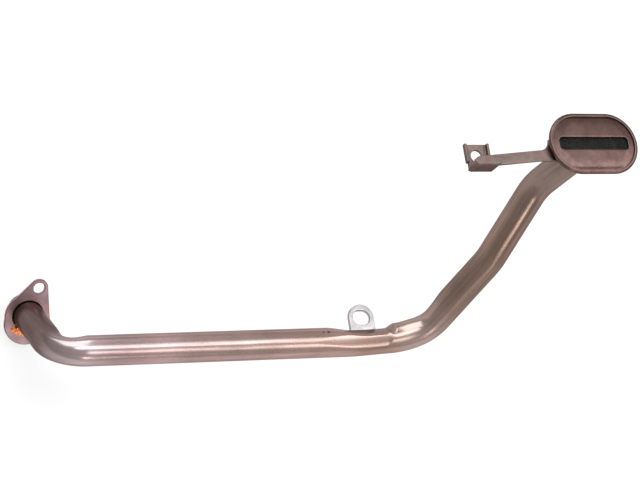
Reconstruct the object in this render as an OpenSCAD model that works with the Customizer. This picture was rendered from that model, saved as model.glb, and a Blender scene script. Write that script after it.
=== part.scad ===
// Oil pickup tube: a bent suction pipe with a one-bolt pump flange, two stud
// brackets and a flat slotted pickup head. Millimetres.
// The origin is the centre of the flange's pump face. +X runs along the long
// straight of the pipe, +Z is the way the pickup head faces.

/* [Pipe] */
// Outside diameter of the pipe
tube_d = 22; // [20:0.5:25]
// Wall thickness of the pipe
tube_wall = 1.5; // [1:0.1:2.5]
// Length of the sized end that enters the pump
spigot_len = 13; // [8:1:20]
// Depth turned off the pipe to size that end
spigot_cut = 0.2; // [0.1:0.05:0.4]
// Lead-in chamfer at the tip of the sized end
lead_in = 0.8; // [0.2:0.1:1]
// Straight from the pump face to the first bend
stub_len = 46.5; // [35:0.5:60]
// Long straight between the first and second bends
run_len = 235; // [180:1:280]
// First straight of the leg that goes to the head
leg_a_len = 56; // [40:1:70]
// Second straight of that leg
leg_b_len = 53; // [40:1:70]
// Last straight, into the head
entry_len = 28.8; // [20:0.1:35]
// Centreline radius of the bend at the flange
stub_bend_r = 23; // [20:1:40]
// Centreline radius of the bend at the end of the long straight
leg_bend_r = 36; // [28:1:45]
// Centreline radius of the slight bend within the leg
mid_bend_r = 60; // [40:1:80]
// Centreline radius of the bend below the head
entry_bend_r = 45; // [30:1:60]

/* [Pipe directions] */
// Lean of the flange's axis from +Z, towards -Y
port_lean = 40; // [0:1:60]
// Lean of both straights of the leg from +Z
leg_lean = 40; // [20:1:60]
// Compass heading of the first straight of the leg, from +X towards +Y
leg_a_heading = 47.5; // [20:0.5:80]
// Compass heading of the second straight of the leg
leg_b_heading = 63; // [20:0.5:90]
// Lean of the last straight from +Z
entry_lean = 25; // [10:1:40]
// Compass heading of the last straight
entry_heading = 32; // [0:1:60]

/* [Pressed flats] */
// Length of the flats pressed into the pipe beside the stud tab
flat_len = 50; // [30:1:60]
// Length of their level part
flat_level = 26; // [4:1:35]
// Length of the steep shoulder that ends them
shoulder_len = 3; // [1:0.5:6]
// Direction the flat beside the tab faces, from +Y towards +Z
side_flat_turn = 28; // [0:1:60]
// Depth of the flat beside the tab
side_flat_depth = 4.4; // [1:0.1:6]
// Direction the flat on the open side faces, from +Y towards +Z
open_flat_turn = 115; // [90:1:140]
// Depth of the flat on the open side
open_flat_depth = 1.8; // [0.5:0.1:3]

/* [Flange] */
// Thickness of the flange plate
flange_t = 2.5; // [2:0.5:5]
// Width of the collar around the pipe
collar_w = 5.45; // [3:0.05:8]
// Shift of the collar towards -X
collar_shift = 0.45; // [0:0.05:2]
// Width of the lobe opposite the bolt, before its shift
lobe_w = 6; // [3:0.5:8]
// Shift of the lobe away from the bolt
lobe_shift = 5.6; // [0:0.1:8]
// Radius of the bolt ear
ear_r = 6.7; // [6:0.1:9]
// Distance from the pipe's axis to the bolt
bolt_reach = 21.9; // [19:0.1:26]
// Direction of the bolt, from +X
bolt_turn = 72.7; // [45:0.1:110]
// Diameter of the bolt hole
bolt_hole_d = 8.4; // [6.4:0.1:9]
// Place on the collar where the ear's long side ends, from +X
web_turn = 123; // [110:1:140]

/* [Flange braze] */
// Gap between the pipe and the flange
braze_gap = 0.5; // [0.1:0.05:0.6]
// Depth below the flange's upper face at which the gap is filled
braze_sink = 1.2; // [0.5:0.1:1.6]
// Radius of the puddle that ran out onto the flange
puddle_r = 7; // [3:0.1:9]
// Radius of the puddle's top
puddle_top_r = 4.4; // [1:0.1:6]
// Height of the puddle
puddle_h = 3.2; // [1:0.1:5]
// Distance of the puddle's centre inside the pipe's surface
puddle_inset = 2.4; // [0:0.1:4]
// Direction of the puddle, from +X
puddle_turn = 240; // [180:1:300]

/* [Stud tab] */
// Thickness of the stud tab
tab_t = 3; // [2:0.5:4]
// Distance from the slot to the end of the long straight
tab_setback = 17.5; // [12:0.5:80]
// Distance from the pipe's axis to the slot
tab_reach = 19.8; // [18:0.1:26]
// Radius of the tab's rounded end
tab_r = 10.1; // [9:0.1:13]
// Width of the stud slot
slot_w = 11; // [8:0.5:12]
// Length of the stud slot
slot_len = 14; // [11:0.5:16]
// Drop of the tab's upper face below the pipe's axis
tab_drop = 4.5; // [3:0.5:8]
// Thickness of the saddle that hugs the pipe
saddle_t = 2.5; // [1.5:0.5:4]
// Angle at which the saddle starts, below +Y
saddle_from = 25; // [20:1:40]
// Angle at which the saddle ends, below +Y
saddle_to = 118; // [90:1:150]

/* [Pickup head] */
// Length of the head over its rolled rim
head_len = 71.6; // [66:0.1:90]
// Width of the head over its rolled rim
head_w = 46; // [42:0.5:56]
// Position of the head's centre from the end of the pipe, along X and Y
head_shift = [14.7, 7.6]; // [0:0.1:20]
// Height of the pipe's end above the back of the cup
pipe_rise = 6; // [5:0.1:8]
// Thickness of the head's sheet metal
shell_t = 1.1; // [0.8:0.1:2]
// Depth of the cup behind the middle of the rim
cup_depth = 14.5; // [12:0.5:20]
// Radius between the cup's back and its side
cup_round = 4; // [2:0.5:6]
// Width of the ledge between the cup's side and the outside of the rim
ledge_w = 3.5; // [3:0.1:5]
// Inward taper of the cup's side, from mouth to back
cup_taper = 5; // [2:0.1:8]
// Width of the rolled rim's lip
lip_w = 2.8; // [2.6:0.1:5]
// Thickness of the inlet plate
plate_t = 1; // [0.8:0.1:2]
// Rise of the inlet plate's middle above its edge
plate_rise = 1.2; // [0.5:0.1:4]
// Flat of the plate inside the rim's lip
plate_flat = 0.3; // [0.2:0.1:2]
// Width of the slope up to the plate's middle
slope_w = 4.4; // [1.5:0.1:5]
// Distance from the end of the inlet slot to the end of the head
inlet_margin = 7.8; // [7:0.1:16]
// Width of the inlet slot
inlet_w = 9.2; // [6:0.1:12]
// Corner radius of the inlet slot
inlet_corner = 2.8; // [1:0.1:4]
// Thickness of the lip turned in around the inlet
inlet_lip_t = 0.9; // [0.6:0.1:1.5]
// Clearance between that lip and the screen
lip_gap = 0.3; // [0.1:0.1:1]

/* [Screen] */
// Thickness of the wire screen
screen_t = 0.7; // [0.5:0.1:1.2]
// Spacing of the screen's openings
screen_pitch = 3.1; // [2:0.1:4]
// Width of the screen's bars
screen_bar = 0.9; // [0.5:0.1:1.5]

/* [Strut bracket] */
// Thickness of the strut's sheet metal
strut_t = 2; // [1.5:0.5:4]
// Drop of the strut's upper face below the middle of the rim
strut_drop = 3.2; // [2.5:0.1:8]
// Width of the strap
strap_w = 8.2; // [6:0.1:12]
// Distance from the head's end to the far end of the fillet
root_gap = 6.6; // [2:0.1:9]
// Radius of the fillet at the head
root_r = 8; // [4:0.5:12]
// Strap's upper edge at the head, from the head's middle line
strap_y = -3.5; // [-6:0.1:2]
// Strap's upper edge at the lobe, from the head's centre
strap_far = [-84.4, -7.2]; // [-90:0.1:0]
// Centre of the lobe's rounded edge, from the head's centre
lobe_end = [-86.9, -20.2]; // [-100:0.1:0]
// Left and right ends of the folded web, from the head's centre
web_x = [-95.5, -76]; // [-110:0.1:-60]
// Outer face of the folded web, from the head's centre
web_y = -14.4; // [-20:0.1:-10]
// Drop from the strap to the stud foot
foot_drop = 14; // [6:0.5:16]
// Far edge of the stud foot, from the head's centre
foot_y = 6.1; // [2:0.1:10]
// Stud hole, from the head's centre
foot_hole = [-86.2, -2.6]; // [-95:0.1:0]
// Diameter of the stud hole
foot_hole_d = 8.5; // [6.4:0.1:11]
// Height of the foot's turned-up sides
foot_side_h = 2.5; // [2:0.5:6]
// Length of the foot's turned-up sides
foot_side_len = 14; // [8:0.5:18]
// Corner cut from the foot's outer end
foot_cut = 3; // [0:0.5:10]

/* [Hidden] */
$fn = 96;
eps = 0.01;
// Small offset that makes one surface cross another instead of grazing it
hair = 0.02;
// Length by which a straight of the pipe enters the bend next to it
seat = 0.3;
// Turn of each straight about its own axis, which sets where its seam meets the bends
seam_turn = 55;
// Distance by which the pressed flats stop short of the bend
flat_stop = 0.2;
// Length by which a cutting tool reaches past the faces it cuts
overrun = 1;
steel = [0.56, 0.47, 0.44];
bright_steel = [0.86, 0.84, 0.84];
copper = [0.88, 0.45, 0.25];
wire = [0.09, 0.1, 0.1];
tube_r = tube_d / 2;
bore_r = tube_r - tube_wall;
spigot_r = tube_r - spigot_cut;
braze_r = tube_r + braze_gap;

// Direction that leans from +Z towards a compass heading
function lean_dir(lean, heading) = [sin(lean) * cos(heading), sin(lean) * sin(heading), cos(lean)];
function unit(v) = v / norm(v);
function polar(r, turn) = r * [cos(turn), sin(turn)];
function bearing(v) = atan2(v[1], v[0]);

// The pipe: directions and lengths of its straights, and radii of the bends between them
port_dir = lean_dir(port_lean, -90);
run_dir = [1, 0, 0];
entry_dir = lean_dir(entry_lean, entry_heading);
headings = [
    port_dir,
    run_dir,
    lean_dir(leg_lean, leg_a_heading),
    lean_dir(leg_lean, leg_b_heading),
    entry_dir
];
lengths = [stub_len, run_len, leg_a_len, leg_b_len, entry_len];
bend_r = [stub_bend_r, leg_bend_r, mid_bend_r, entry_bend_r];
last = len(lengths) - 1;
function turn(i) = acos(headings[i] * headings[i + 1]);
function bend_shift(i) = bend_r[i] * tan(turn(i) / 2) * (headings[i] + headings[i + 1]);
function leg_end(i) = leg_start(i) + lengths[i] * headings[i];
function leg_start(i) = i == 0 ? [0, 0, 0] : leg_end(i - 1) + bend_shift(i - 1);

run_axis = leg_start(1);
run_end_x = leg_end(1)[0];
tab_x = run_end_x - tab_setback;
head_pos = leg_end(last) + [head_shift[0], head_shift[1], cup_depth - pipe_rise];

// The flange: its collar and lobe around the pipe, and its bolt
collar_r = tube_r + collar_w;
lobe_r = tube_r + lobe_w;
bolt_pos = polar(bolt_reach, bolt_turn);

// The rolled rim: the plate and screen lie in its slot
head_r = head_w / 2;
head_side = head_len / 2 - head_r;
rim_slot = plate_t + screen_t;
curl_r = rim_slot / 2 + shell_t;
curl_axis_r = head_r - curl_r;
lip_r = head_r - lip_w;

// The cup: half widths at its mouth and back
cup_mouth_r = head_r - ledge_w;
cup_back_r = cup_mouth_r - cup_taper;
cup_lean = atan(cup_taper / (cup_depth - curl_r));

// The inlet plate on top of the screen, and the slot in its middle
screen_low = -rim_slot / 2;
plate_low = screen_low + screen_t;
plate_mid_top = plate_low + plate_t + plate_rise;
rise_from_r = lip_r - plate_flat;
raised_r = rise_from_r - slope_w;
inlet_len = head_len - 2 * inlet_margin;
screen_cols = floor((inlet_len + screen_bar) / screen_pitch);
screen_rows = floor((inlet_w + screen_bar) / screen_pitch);

// The strut's strap where it leaves the head's fillet
strap_near = [-head_len / 2 - root_gap, strap_y];

// Frame whose X, Y and Z axes are a, b and the normal to both
module frame(pos, a, b) {
    c = cross(a, b);
    multmatrix([
        [a[0], b[0], c[0], pos[0]],
        [a[1], b[1], c[1], pos[1]],
        [a[2], b[2], c[2], pos[2]],
        [0, 0, 0, 1]
    ]) children();
}

// One straight of the pipe, as a bar of radius r that seats in the bends at its ends
module bar(i, r, before = seat, after = seat) {
    z = headings[i];
    x = unit(cross(z, i == last ? headings[i - 1] : headings[i + 1]));
    frame(leg_start(i) - before * z, x, cross(z, x))
        rotate([0, 0, seam_turn]) cylinder(r = r, h = lengths[i] + before + after);
}

// One bend of the pipe, as a bar a hair thicker than radius r
module elbow(i, r) {
    u = headings[i];
    inward = unit(headings[i + 1] - u * (u * headings[i + 1]));
    frame(leg_end(i) + bend_r[i] * inward, -inward, u)
        rotate_extrude(angle = turn(i))
            translate([bend_r[i], 0])
                circle(r + hair);
}

// What a press takes off a bar of radius r: a ramp, a level floor and a steep shoulder
module flat_tool(r, turn, depth) {
    floor_h = r - depth;
    translate([run_end_x - shoulder_len, run_axis[1], run_axis[2]])
        rotate([turn, 0, 0])
            linear_extrude(2 * tube_d, center = true)
                polygon([
                    [shoulder_len - flat_len, r],
                    [-flat_level, floor_h],
                    [0, floor_h],
                    [shoulder_len - flat_stop, r],
                    [shoulder_len - flat_stop, tube_d],
                    [shoulder_len - flat_len, tube_d]
                ]);
}

// The whole pipe as a bar of radius r, from before the pump face to beyond its end in the head
module pipe_solid(r, before = 0, beyond = 0) {
    bar(0, r, before);
    difference() {
        bar(1, r);
        flat_tool(r, side_flat_turn, side_flat_depth);
        flat_tool(r, open_flat_turn, open_flat_depth);
    }
    for (i = [2 : last - 1]) bar(i, r);
    bar(last, r, seat, beyond);
    for (i = [0 : last - 1]) elbow(i, r);
}

// Sized end below the pump face, with its lead-in
module spigot() {
    rotate([port_lean, 0, 0]) {
        translate([0, 0, -spigot_len]) cylinder(r1 = spigot_r - lead_in, r2 = spigot_r, h = lead_in);
        translate([0, 0, lead_in - spigot_len]) cylinder(r = spigot_r, h = spigot_len - lead_in + seat);
    }
}

module pickup_tube() {
    color(steel)
        difference() {
            union() {
                pipe_solid(tube_r);
                spigot();
            }
            pipe_solid(bore_r, spigot_len + eps, eps);
        }
}

// Outline of the flange: collar, lobe, bolt ear and the web between them
module flange_outline() {
    lobe_pos = [0, -lobe_shift];
    collar_pos = [-collar_shift, 0];
    web_foot = collar_pos + polar(collar_r, web_turn);
    to_ear = bolt_pos - lobe_pos;
    to_foot = web_foot - bolt_pos;
    side_turn = bearing(to_ear) - acos((lobe_r - ear_r) / norm(to_ear));
    long_turn = bearing(to_foot) - acos(ear_r / norm(to_foot));
    translate(collar_pos) circle(collar_r);
    translate(lobe_pos) circle(lobe_r);
    translate(bolt_pos) circle(ear_r);
    polygon([
        web_foot,
        [0, 0],
        lobe_pos + polar(lobe_r - hair, side_turn),
        bolt_pos + polar(ear_r - hair, side_turn),
        bolt_pos,
        bolt_pos + polar(ear_r - hair, long_turn)
    ]);
}

module mounting_flange() {
    color(steel)
        rotate([port_lean, 0, 0])
            difference() {
                linear_extrude(flange_t) flange_outline();
                translate([0, 0, -overrun]) cylinder(r = braze_r, h = flange_t + 2 * overrun);
                translate([bolt_pos[0], bolt_pos[1], -overrun])
                    cylinder(d = bolt_hole_d, h = flange_t + 2 * overrun);
            }
}

// Copper in the gap around the pipe, with the puddle that ran out on one side
module flange_braze() {
    puddle_pos = polar(tube_r - puddle_inset, puddle_turn);
    color(copper)
        rotate([port_lean, 0, 0])
            difference() {
                union() {
                    cylinder(r = braze_r, h = flange_t - braze_sink);
                    intersection() {
                        cylinder(r = braze_r, h = flange_t);
                        translate(puddle_pos) cylinder(r = puddle_r, h = flange_t);
                    }
                    translate([puddle_pos[0], puddle_pos[1], flange_t])
                        cylinder(r1 = puddle_r, r2 = puddle_top_r, h = puddle_h);
                }
                translate([0, 0, -overrun]) cylinder(r = tube_r, h = flange_t + puddle_h + 2 * overrun);
            }
}

// Stud tab with its slot, before it is fitted to the pipe
module tab_plate() {
    slot_shift = (slot_len - slot_w) / 2;
    linear_extrude(tab_t)
        difference() {
            union() {
                translate([tab_x, tab_reach]) circle(tab_r);
                translate([tab_x - tab_r, 0]) square([2 * tab_r, tab_reach]);
            }
            translate([tab_x, tab_reach]) {
                for (s = [-1, 1]) translate([s * slot_shift, 0]) circle(d = slot_w);
                square([2 * slot_shift, slot_w], center = true);
            }
        }
}

// Saddle under the pipe, before it is fitted to the pipe
module tab_saddle() {
    reach = 2 * tube_d;
    translate([tab_x - tab_r, 0, 0])
        rotate([90, 0, 90])
            linear_extrude(2 * tab_r)
                intersection() {
                    circle(tube_r + saddle_t);
                    polygon([
                        [0, 0],
                        polar(reach, -saddle_from),
                        polar(reach, -(saddle_from + saddle_to) / 2),
                        polar(reach, -saddle_to)
                    ]);
                }
}

module stud_tab() {
    color(bright_steel)
        difference() {
            translate([0, run_axis[1], run_axis[2]]) {
                translate([0, 0, -tab_drop - tab_t]) tab_plate();
                tab_saddle();
            }
            bar(1, tube_r);
        }
}

// Sweeps a section around the head: its x is the distance from the middle line, its y the height
module head_sweep() {
    for (s = [-1, 1])
        translate([s * head_side, 0, 0])
            rotate([0, 0, -90 * s])
                rotate_extrude(angle = 180) children();
    for (s = [0, 1])
        mirror([0, s, 0])
            translate([-head_side, 0, 0])
                rotate([90, 0, 90])
                    linear_extrude(2 * head_side) children();
}

// Half section of the cup, grown inwards by a wall
module cup_profile(inset) {
    low = inset - cup_depth;
    round_r = cup_round - inset;
    side = cup_back_r + cup_round * tan(cup_lean) - cup_round / cos(cup_lean);
    corner = [side, cup_round - cup_depth];
    foot = corner + polar(round_r, -cup_lean);
    top = -rim_slot / 2;
    top_x = foot[0] + (top - foot[1]) * tan(cup_lean);
    translate(corner) circle(round_r);
    polygon([
        [0, low],
        [corner[0], low],
        foot,
        [top_x, top],
        [0, top]
    ]);
}

// Section of the cup with its rim rolled over the plate and screen
module shell_section() {
    difference() {
        cup_profile(0);
        cup_profile(shell_t);
    }
    translate([cup_mouth_r - shell_t, -curl_r]) square([curl_axis_r - cup_mouth_r + shell_t, shell_t]);
    translate([lip_r, rim_slot / 2]) square([curl_axis_r - lip_r, shell_t]);
    translate([curl_axis_r, 0])
        difference() {
            circle(curl_r);
            circle(rim_slot / 2);
            translate([-2 * curl_r, -2 * curl_r]) square([2 * curl_r, 4 * curl_r]);
        }
}

module head_shell() {
    color(steel)
        difference() {
            translate(head_pos) head_sweep() shell_section();
            bar(last, tube_r, seat, 0);
            elbow(last - 1, tube_r);
        }
}

module rounded_slot(grow) {
    r = inlet_corner + grow;
    l = inlet_len + 2 * grow;
    w = inlet_w + 2 * grow;
    for (x = [-1, 1], y = [-1, 1])
        translate([x * (l / 2 - r), y * (w / 2 - r)]) circle(r);
    square([l - 2 * r, w], center = true);
    square([l, w - 2 * r], center = true);
}

// Section of the inlet plate: a flat edge for the rim, rising to a flat middle
module plate_section() {
    slope = atan(plate_rise / (rise_from_r - raised_r));
    shift = plate_t * tan(slope / 2);
    polygon([
        [0, plate_mid_top],
        [raised_r, plate_mid_top],
        [rise_from_r, plate_low + plate_t],
        [curl_axis_r, plate_low + plate_t],
        [curl_axis_r, plate_low],
        [rise_from_r - shift, plate_low],
        [raised_r - shift, plate_mid_top - plate_t],
        [0, plate_mid_top - plate_t]
    ]);
}

module inlet_plate() {
    lip_low = plate_low + lip_gap;
    color(steel)
        translate(head_pos)
            difference() {
                union() {
                    head_sweep() plate_section();
                    translate([0, 0, lip_low])
                        linear_extrude(plate_mid_top - plate_t / 2 - lip_low) rounded_slot(inlet_lip_t);
                }
                translate([0, 0, lip_low - overrun]) linear_extrude(cup_depth) rounded_slot(0);
            }
}

module screen() {
    hole = screen_pitch - screen_bar;
    color(wire)
        translate(head_pos + [0, 0, screen_low])
            linear_extrude(screen_t)
                difference() {
                    union() {
                        for (s = [-1, 1]) translate([s * head_side, 0]) circle(curl_axis_r);
                        square([2 * head_side, 2 * curl_axis_r], center = true);
                    }
                    for (i = [0 : screen_cols - 1], j = [0 : screen_rows - 1])
                        translate(screen_pitch * [i - (screen_cols - 1) / 2, j - (screen_rows - 1) / 2])
                            square(hole, center = true);
                }
}

// Flat upper face of the strut: fillet at the head, strap and lobe
module strut_outline() {
    along = unit(strap_far - strap_near);
    across = strap_w * [-along[1], along[0]];
    in_lobe = strap_far + strut_t * along;
    root_x = -head_side - cup_back_r;
    fold_y = web_y + strut_t;
    difference() {
        union() {
            polygon([strap_near, in_lobe, in_lobe + across, strap_near + across]);
            translate([strap_near[0], strap_near[1] - strap_w])
                square([root_x - strap_near[0], strap_w + root_r]);
            intersection() {
                translate(lobe_end) circle(norm(strap_far - lobe_end));
                translate([web_x[0], fold_y]) square([web_x[1] - web_x[0], strap_w]);
            }
        }
        translate(strap_near + [0, root_r]) circle(root_r);
        translate([web_x[0] - overrun, fold_y - strap_w])
            square([web_x[1] - web_x[0] + overrun, strap_w]);
    }
}

// Quarter round of a fold, in the quadrant set by the signs sx and sy
module fold_round(sx, sy) {
    intersection() {
        circle(strut_t);
        translate([sx < 0 ? -strut_t : 0, sy < 0 ? -strut_t : 0]) square(strut_t);
    }
}

// Section of the web, folded down from the lobe and back under it
module web_section() {
    top = -strut_drop - strut_t;
    low = -strut_drop - foot_drop;
    translate([web_y + strut_t, top]) fold_round(-1, 1);
    translate([web_y, low]) square([strut_t, top - low]);
    translate([web_y + strut_t, low]) fold_round(-1, -1);
}

// Section of the foot with its turned-up sides
module foot_section() {
    wide = web_x[1] - web_x[0];
    translate([strut_t, -strut_t]) square([wide - 2 * strut_t, strut_t]);
    for (side = [0, 1])
        translate([side * wide, 0])
            mirror([side, 0]) {
                translate([strut_t, 0]) fold_round(-1, -1);
                square([strut_t, foot_side_h]);
            }
}

module strut_bracket() {
    foot_top = -strut_drop - foot_drop;
    fold_y = web_y + strut_t;
    color(steel)
        difference() {
            translate(head_pos)
                difference() {
                    union() {
                        translate([0, 0, -strut_drop - strut_t]) linear_extrude(strut_t) strut_outline();
                        translate([web_x[0], 0, 0])
                            rotate([90, 0, 90]) linear_extrude(web_x[1] - web_x[0]) web_section();
                        translate([web_x[0] + strut_t, fold_y, foot_top - strut_t])
                            cube([web_x[1] - web_x[0] - 2 * strut_t, foot_y - fold_y, strut_t]);
                        translate([web_x[0], foot_y, foot_top])
                            rotate([90, 0, 0]) linear_extrude(foot_side_len) foot_section();
                    }
                    translate([foot_hole[0], foot_hole[1], foot_top - strut_t - overrun])
                        cylinder(d = foot_hole_d, h = strut_t + 2 * overrun);
                    translate([web_x[0], web_y, foot_top - 2 * strut_t])
                        linear_extrude(foot_drop + 4 * strut_t)
                            polygon([
                                [-overrun, -overrun],
                                [foot_cut, -overrun],
                                [foot_cut, 0],
                                [0, foot_cut],
                                [-overrun, foot_cut]
                            ]);
                }
            translate(head_pos) head_sweep() cup_profile(0);
            bar(last, tube_r, seat, 0);
            elbow(last - 1, tube_r);
        }
}

pickup_tube();
mounting_flange();
flange_braze();
stud_tab();
head_shell();
inlet_plate();
screen();
strut_bracket();
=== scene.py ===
"""Looks of the oil pickup tube: a brazed steel pipe with its flange, tab, head and strut, in metres."""

import math
from collections import namedtuple

import bmesh
import bpy
from mathutils import Matrix, Vector, noise
from mathutils.bvhtree import BVHTree


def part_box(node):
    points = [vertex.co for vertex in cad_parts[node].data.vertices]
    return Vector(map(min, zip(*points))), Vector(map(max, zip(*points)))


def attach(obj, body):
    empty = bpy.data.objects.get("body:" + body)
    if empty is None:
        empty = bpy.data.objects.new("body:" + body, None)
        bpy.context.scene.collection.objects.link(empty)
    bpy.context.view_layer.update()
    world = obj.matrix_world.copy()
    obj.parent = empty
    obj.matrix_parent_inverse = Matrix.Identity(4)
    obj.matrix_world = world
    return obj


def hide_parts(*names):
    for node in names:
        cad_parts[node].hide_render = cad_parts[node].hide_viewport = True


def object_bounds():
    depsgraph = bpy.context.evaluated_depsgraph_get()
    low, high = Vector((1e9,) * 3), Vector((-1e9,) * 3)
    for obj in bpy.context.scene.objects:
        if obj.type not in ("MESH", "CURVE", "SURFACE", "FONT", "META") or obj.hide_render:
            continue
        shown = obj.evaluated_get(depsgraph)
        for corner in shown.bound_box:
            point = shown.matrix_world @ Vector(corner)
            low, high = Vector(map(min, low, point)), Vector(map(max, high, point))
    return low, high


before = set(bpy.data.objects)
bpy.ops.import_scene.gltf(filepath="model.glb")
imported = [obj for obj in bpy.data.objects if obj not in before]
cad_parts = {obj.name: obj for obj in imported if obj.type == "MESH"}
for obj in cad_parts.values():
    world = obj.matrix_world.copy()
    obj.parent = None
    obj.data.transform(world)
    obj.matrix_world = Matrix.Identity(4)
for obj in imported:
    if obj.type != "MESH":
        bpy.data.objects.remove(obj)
box_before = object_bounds()

# The pipe: its wall, its sized end, its straights and the bends between them, with angles in degrees
TUBE_R = 0.011
BORE_R = 0.0095
SPIGOT_R = 0.0108
SPIGOT_LEN = 0.013
SPIGOT_STEP = 0.00005
LEAD_IN = 0.0008
LEG_LENGTHS = (0.0465, 0.235, 0.056, 0.053, 0.0288)
BEND_RADII = (0.023, 0.036, 0.060, 0.045)
PORT_LEAN = 40
PORT_HEADING = -90
LEG_LEAN = 40
LEG_HEADINGS = (47.5, 63)
ENTRY_LEAN = 25
ENTRY_HEADING = 32
RING_STEP = 0.0012
RING_SIDES = 72

# Slight waves of the pipe's wall, mostly inwards, from a distance past the flange's pump face
WAVE_START = 0.005
WAVE_DEPTH = 0.00006
WAVE_SCALE = 45
WAVE_BIAS = 0.5

# The presses that formed the run beside the tab: the way each faces, from +Y towards +Z, its depth and
# the radius of its die, then where its ramp starts and ends and where its shoulder starts and ends, from
# the run's end
Press = namedtuple("Press", "turn depth die ramp_start ramp_end step_start step_end")
SIDE_PRESS = Press(28, 0.0044, 0.30, -0.055, -0.020, -0.001, 0.0042)
OPEN_PRESS = Press(104, 0.0011, 0.05, -0.066, -0.015, -0.0065, -0.0015)
PRESS_EDGE = 0.0016
PRESS_LEAST_SHARE = 0.001
PRESS_LEAST_FACING = 0.2

# What bending did to the pipe: dents at the first two bends, each at a turn in degrees from the bend's
# inside and at a share of its arc, and an early start of the second bend
Dent = namedtuple("Dent", "bend turn depth place half_len")
DENTS = (Dent(0, 64, 0.0027, 0.50, 0.020), Dent(1, -25, 0.0018, 0.95, 0.022))
EASE_DEPTH = 0.0023
EASE_LEAD = 0.036
EASE_PEAK = 0.010
EASE_TAIL = 0.044

# The flange and its braze
FLANGE_T = 0.0025
BRAZE_R = 0.0115
BRAZE_LEVEL = 0.0013
BRAZE_STEPS = 16
BRAZE_TURN_STEP = 2

# The copper that ran out over the flange, between two turns from +X in degrees: a streak that starts as
# a point away from the pipe and meets it further on
PUDDLE_START = 214
PUDDLE_MEET = 233
PUDDLE_END = 288
PUDDLE_FADE = 14
PUDDLE_TIP_START = 212
PUDDLE_TIP_END = 220
PUDDLE_REACH = 0.0046
PUDDLE_REACH_FULL = 0.2
PUDDLE_UNDER = 0.0012
PUDDLE_EDGE_IN = 0.0004
PUDDLE_EDGE_OUT = 0.0006
PUDDLE_RISE = 0.0016
PUDDLE_DOME = 0.0008
PUDDLE_SINK = 0.00005

# Lumps of that copper: their size, and the scales and places of the noises that shape them
PUDDLE_LUMP = 0.0006
LUMP_TURN_SCALE = 0.16
LUMP_ACROSS_SCALE = 3
LUMP_PLACE = 4.1
EDGE_TURN_SCALE = 0.09
EDGE_PLACE = (0.3, 1.7)

# The head: rolled rim, cup, inlet plate and gauze, with heights from the middle of the rim
HEAD_SIDE = 0.0128
CURL_R = 0.00195
CURL_AXIS_R = 0.02105
CURL_STEPS = 16
SHELL_T = 0.0011
LIP_R = 0.0202
LIP_EDGE = 0.0005
LIP_STEPS = 5
SLOT_HALF = 0.00085
SLOT_STEPS = 8
CUP_BACK_R = 0.0145
CUP_TAPER = 0.005
CUP_DEPTH = 0.0145
CUP_LEAN = math.atan(CUP_TAPER / (CUP_DEPTH - CURL_R))
CUP_ROUND = 0.004
CUP_STEPS = 8
CUP_MIDDLE_R = 0.00001
CORNER_STEPS = 16
PLATE_LOW = -0.00015
PLATE_T = 0.001

# The face of the inlet plate, which droops from further in at its ends than at its sides
FACE_TOP = 0.00205
FACE_EDGE_R = 0.0199
FACE_SIDE_R = 0.016
FACE_END_R = 0.006
FACE_END_FULL = 0.9
FACE_STEPS = 18
UNDER_STEPS = 6

# The inlet in that face, and the gauze behind it
INLET_LEN = 0.056
INLET_W = 0.0092
INLET_CORNER = 0.0028
INLET_LIP_T = 0.0009
INLET_LIP_LOW = 0.00015
INLET_ROUND = 0.0006
INLET_STEPS = 5
GAUZE_MID = -0.0005
GAUZE_PITCH = 0.00115
WIRE_R = 0.0002
WIRE_SIDES = 6

# Rounding of stamped edges, where faces meet at more than an angle
FLANGE_ROUND = 0.0004
TAB_ROUND = 0.00025
STRUT_ROUND = 0.0005
ROUND_STEPS = 3
MERGE_GAP = 0.000002
EDGE_ANGLE = math.radians(32)

# Angles in degrees past which an edge is shaded sharp
PIPE_SHARP = 45
SHEET_SHARP = 40
BRAZE_SHARP = 60
WIRE_SHARP = 70

# What the finishes share: two colours, where most of a noise's values lie, the share of a dark mark
# that is solid, and the sockets of a Mix node for colours
DARK_STEEL = (0.05, 0.035, 0.03)
EDGE_TINT = (0.55, 0.5, 0.5)
NOISE_LOW = 0.3
NOISE_HIGH = 0.7
MARK_CORE = 0.5
MIX_FAC, MIX_UNDER, MIX_OVER = 0, 6, 7
MIX_RESULT = 2

# Sheet steel: for each noise its scale, the span of its values that shows and what it does to the colour
DRIFT_SCALE = 90
DRIFT_SHADES = (0.78, 1.18)
BLUSH_SCALE = 150
BLUSH_SPAN = (0.5, 0.68)
BLUSH_SHARE = 0.6
BLUSH_TINT = (1.2, 0.92, 0.86)
MOTTLE_SCALE = 260
MOTTLE_SPAN = (0.45, 0.72)
MOTTLE_SHARE = 0.4
MOTTLE_SHADE = 0.62
SHEET_ROUGHER = (-0.06, 0.08)
GRAIN_SCALE = 900
GRAIN_DEPTH = 0.00001

# Pipe steel, in the same terms, with streaks that are drawn out along the pipe
PIPE_ROUGH = 0.42
PIPE_ROUGH_SHARES = (0.8, 1.3)
CLOUD_SCALE = 22
CLOUD_SHADES = (0.8, 1.15)
STREAK_SCALE = 420
STREAK_STRETCH = (1.0, 1.0, 0.05)
STREAK_SHADES = (1.12, 0.78)
STREAK_DEPTH = 0.000008
FLECK_SCALE = 520
FLECK_SPAN = (0.68, 0.8)
FLECK_SHARE = 0.5

# Braze copper, in the same terms, with painted shade between two depths below the flange's top, where the
# copper lies down in the gap
BRIGHT_COPPER = (1.0, 0.52, 0.32)
PATCH_SCALE = 700
PATCH_STOPS = (0.36, 0.5, 0.64)
PATCH_SHADE = 0.6
COPPER_ROUGHER = (-0.06, 0.12)
COPPER_GRAIN_SCALE = 1400
COPPER_GRAIN_DEPTH = 0.00003
GAP_SHADE_FULL = 0.0007
GAP_SHADE_NONE = 0.0002

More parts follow.
